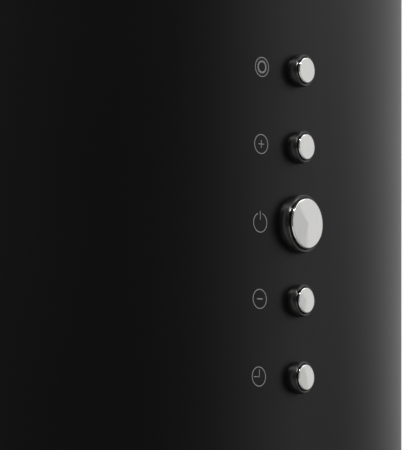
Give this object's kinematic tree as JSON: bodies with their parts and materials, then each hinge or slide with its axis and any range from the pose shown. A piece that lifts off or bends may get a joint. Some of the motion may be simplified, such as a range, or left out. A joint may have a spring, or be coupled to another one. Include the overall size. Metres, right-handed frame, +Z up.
{
  "type": "chimney range hood",
  "caption": "Round wall-hung cooker hood: matte black rolled-steel body with push buttons, telescopic chimney, hinged grease filter, lamps and an enclosed blower.",
  "frame": {"origin": "on the wall plane, on the hood's centre line, level with the bottom rim", "axes": "+X to the right as the cook sees it, -Y towards the cook, +Y into the wall, +Z up along the round body"},
  "size_m": [0.37, 0.3619, 0.82],
  "materials": {
    "matte_black": "matte",
    "galvanised": "satin",
    "zinc_steel": "satin",
    "filter_aluminium": "satin",
    "black_plastic": "matte",
    "grey_plastic": "matte",
    "motor_metal": "satin",
    "rubber": "matte",
    "white_plastic": "satin",
    "circuit_board": "satin",
    "gloss_black": "gloss",
    "satin_metal": "satin",
    "lamp_lens": "frosted"
  },
  "bodies": {
    "hood": {"back_channel": "galvanised", "base_plate": "matte_black", "button_springs": "zinc_steel", "cable_gland": "black_plastic", "capacitor": "white_plastic", "catch_magnets": "zinc_steel", "collar_nuts": "zinc_steel", "control_board": "circuit_board", "control_holder": "black_plastic", "cover_clips": "galvanised", "damper_pin": "zinc_steel", "deck_plate": "galvanised", "electronics_box": "galvanised", "electronics_lid": "galvanised", "filter_hinge_brackets": "galvanised", "filter_hinge_pins": "zinc_steel", "key_switches": "black_plastic", "lamp_bezel_left": "satin_metal", "lamp_bezel_right": "satin_metal", "lamp_heatsink_left": "motor_metal", "lamp_heatsink_right": "motor_metal", "lamp_lens_left": "lamp_lens", "lamp_lens_right": "lamp_lens", "motor_bearings": "zinc_steel", "motor_body": "motor_metal", "motor_bracket": "galvanised", "motor_grommets": "rubber", "outer_cover": "matte_black", "outlet_collar": "grey_plastic", "power_board": "circuit_board", "power_collar": "gloss_black", "scroll_left": "grey_plastic", "scroll_right": "grey_plastic", "side_struts": "galvanised", "small_collars": "gloss_black", "wall_bracket": "galvanised"},
    "chimney": {"upper_chimney": "matte_black", "chimney_bracket": "galvanised", "chimney_screws": "zinc_steel"},
    "filter": {"filter_frame": "filter_aluminium", "filter_mesh": "filter_aluminium", "filter_handle": "black_plastic", "catch_keepers": "zinc_steel"},
    "wheel": {"fan_wheel": "galvanised", "fan_wheel_blades": "galvanised", "fan_wheel_rings": "galvanised", "motor_shaft": "zinc_steel"},
    "flap_front": {"damper_flap_front": "black_plastic"},
    "flap_rear": {"damper_flap_rear": "black_plastic"},
    "button_timer": {"cap_timer": "satin_metal", "stem_timer": "white_plastic"},
    "button_minus": {"cap_minus": "satin_metal", "stem_minus": "white_plastic"},
    "button_power": {"cap_power": "satin_metal", "stem_power": "white_plastic"},
    "button_plus": {"cap_plus": "satin_metal", "stem_plus": "white_plastic"},
    "button_light": {"cap_light": "satin_metal", "stem_light": "white_plastic"}
  },
  "joints": [
    {"name": "chimney_slide", "type": "slide", "parent": "hood", "child": "chimney", "axis": [0, 0, 1], "range_m": [-0.14, 0.05]},
    {"name": "filter_hinge", "type": "hinge", "parent": "hood", "child": "filter", "pos_m": [0, -0.04465, 0.0067], "axis": [1, 0, 0], "range_deg": [0, 80]},
    {"name": "fan_spin", "type": "hinge", "parent": "hood", "child": "wheel", "pos_m": [0, -0.18605, 0.17], "axis": [1, 0, 0], "continuous": true},
    {"name": "flap_front_hinge", "type": "hinge", "parent": "hood", "child": "flap_front", "pos_m": [0, -0.12805, 0.3515], "axis": [-1, 0, 0], "range_deg": [0, 75]},
    {"name": "flap_rear_hinge", "type": "hinge", "parent": "hood", "child": "flap_rear", "pos_m": [0, -0.12805, 0.3515], "axis": [1, 0, 0], "range_deg": [0, 75]},
    {"name": "press_timer", "type": "slide", "parent": "hood", "child": "button_timer", "axis": [0, 1, 0], "range_m": [0, 0.0012], "stiffness_N_per_m": 500, "springref_m": -0.004, "deforming": ["button_springs"]},
    {"name": "press_minus", "type": "slide", "parent": "hood", "child": "button_minus", "axis": [0, 1, 0], "range_m": [0, 0.0012], "stiffness_N_per_m": 500, "springref_m": -0.004, "deforming": ["button_springs"]},
    {"name": "press_power", "type": "slide", "parent": "hood", "child": "button_power", "axis": [0, 1, 0], "range_m": [0, 0.0012], "stiffness_N_per_m": 500, "springref_m": -0.004, "deforming": ["button_springs"]},
    {"name": "press_plus", "type": "slide", "parent": "hood", "child": "button_plus", "axis": [0, 1, 0], "range_m": [0, 0.0012], "stiffness_N_per_m": 500, "springref_m": -0.004, "deforming": ["button_springs"]},
    {"name": "press_light", "type": "slide", "parent": "hood", "child": "button_light", "axis": [0, 1, 0], "range_m": [0, 0.0012], "stiffness_N_per_m": 500, "springref_m": -0.004, "deforming": ["button_springs"]}
  ]
}
